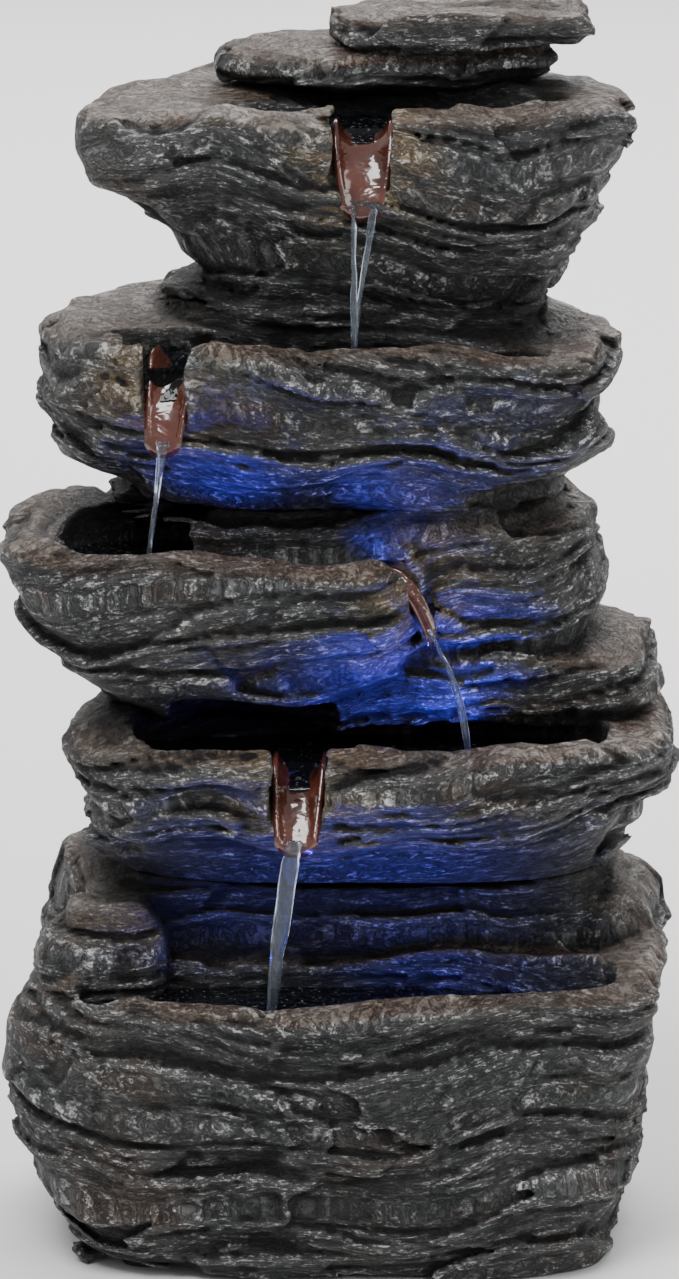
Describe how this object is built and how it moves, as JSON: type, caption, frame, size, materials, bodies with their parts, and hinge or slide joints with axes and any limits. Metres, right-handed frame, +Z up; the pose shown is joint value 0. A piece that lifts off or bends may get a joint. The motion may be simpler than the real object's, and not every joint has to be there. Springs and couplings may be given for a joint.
{
  "type": "tabletop water fountain",
  "caption": "Tabletop rock water fountain: hollow cast-resin bowls stacked above a reservoir, spouts between them, a pump inside and blue lights under water.",
  "frame": {"origin": "centre of the footprint, on the table that the foot pads rest on", "axes": "+Z up, +Y towards the back with the access door, -Y towards the pools and spouts, +X to the right seen from the front"},
  "size_m": [0.2174, 0.1799, 0.4],
  "materials": {
    "rock": "dry-brushed cast resin rock",
    "spout_glaze": "wet terracotta",
    "lead_jacket": "satin",
    "light_lens": "clear, lit blue",
    "board": "solder mask",
    "rubber": "matte",
    "bush_rubber": "matte",
    "tube_vinyl": "clear vinyl",
    "shaft_ceramic": "polished",
    "magnet": "ferrite",
    "core_steel": "laminated",
    "coil_copper": "enamelled winding",
    "white_plastic": "satin",
    "black_plastic": "satin"
  },
  "bodies": {
    "fountain": {"base_basin": "rock", "bush_front": "bush_rubber", "bush_rear": "bush_rubber", "cord_grommet": "rubber", "crown_slab_lower": "rock", "crown_slab_upper": "rock", "foot_pads": "rubber", "junction_board": "board", "junction_box": "black_plastic", "junction_lid": "black_plastic", "lead_base": "lead_jacket", "lead_lower": "lead_jacket", "lead_middle": "lead_jacket", "lead_pump": "lead_jacket", "light_base_board": "board", "light_base_housing": "black_plastic", "light_base_lens": "light_lens", "light_lower_board": "board", "light_lower_housing": "black_plastic", "light_lower_lens": "light_lens", "light_lower_nut": "black_plastic", "light_middle_board": "board", "light_middle_housing": "black_plastic", "light_middle_lens": "light_lens", "light_middle_nut": "black_plastic", "light_stand": "black_plastic", "lower_bowl": "rock", "lower_spout": "spout_glaze", "middle_bowl": "rock", "middle_spout": "spout_glaze", "outlet_fitting": "black_plastic", "pump_coil": "coil_copper", "pump_core": "core_steel", "pump_end_cap": "black_plastic", "pump_housing": "black_plastic", "pump_shaft": "shaft_ceramic", "pump_volute": "black_plastic", "riser_clips": "black_plastic", "riser_joiner": "black_plastic", "riser_lower": "tube_vinyl", "riser_upper": "tube_vinyl", "suction_cups": "rubber", "top_bowl": "rock", "top_spout": "spout_glaze", "upper_bowl": "rock", "upper_spout": "spout_glaze"},
    "rotor": {"rotor_magnet": "magnet", "impeller": "white_plastic"},
    "flow_collar": {"flow_collar": "white_plastic"},
    "strainer": {"pump_strainer": "black_plastic"},
    "door": {"access_door": "rock"}
  },
  "joints": [
    {"name": "rotor_spin", "type": "hinge", "parent": "fountain", "child": "rotor", "pos_m": [0.02, 0.044, 0.03], "axis": [1, 0, 0], "continuous": true},
    {"name": "flow_turn", "type": "hinge", "parent": "fountain", "child": "flow_collar", "pos_m": [0.005, 0.044, 0.05], "axis": [0, 0, 1], "range_deg": [-70, 0]},
    {"name": "strainer_pull", "type": "slide", "parent": "fountain", "child": "strainer", "axis": [-1, 0, 0], "range_m": [0, 0.02]},
    {"name": "door_pull", "type": "slide", "parent": "fountain", "child": "door", "axis": [0, 1, 0], "range_m": [0, 0.06]}
  ]
}
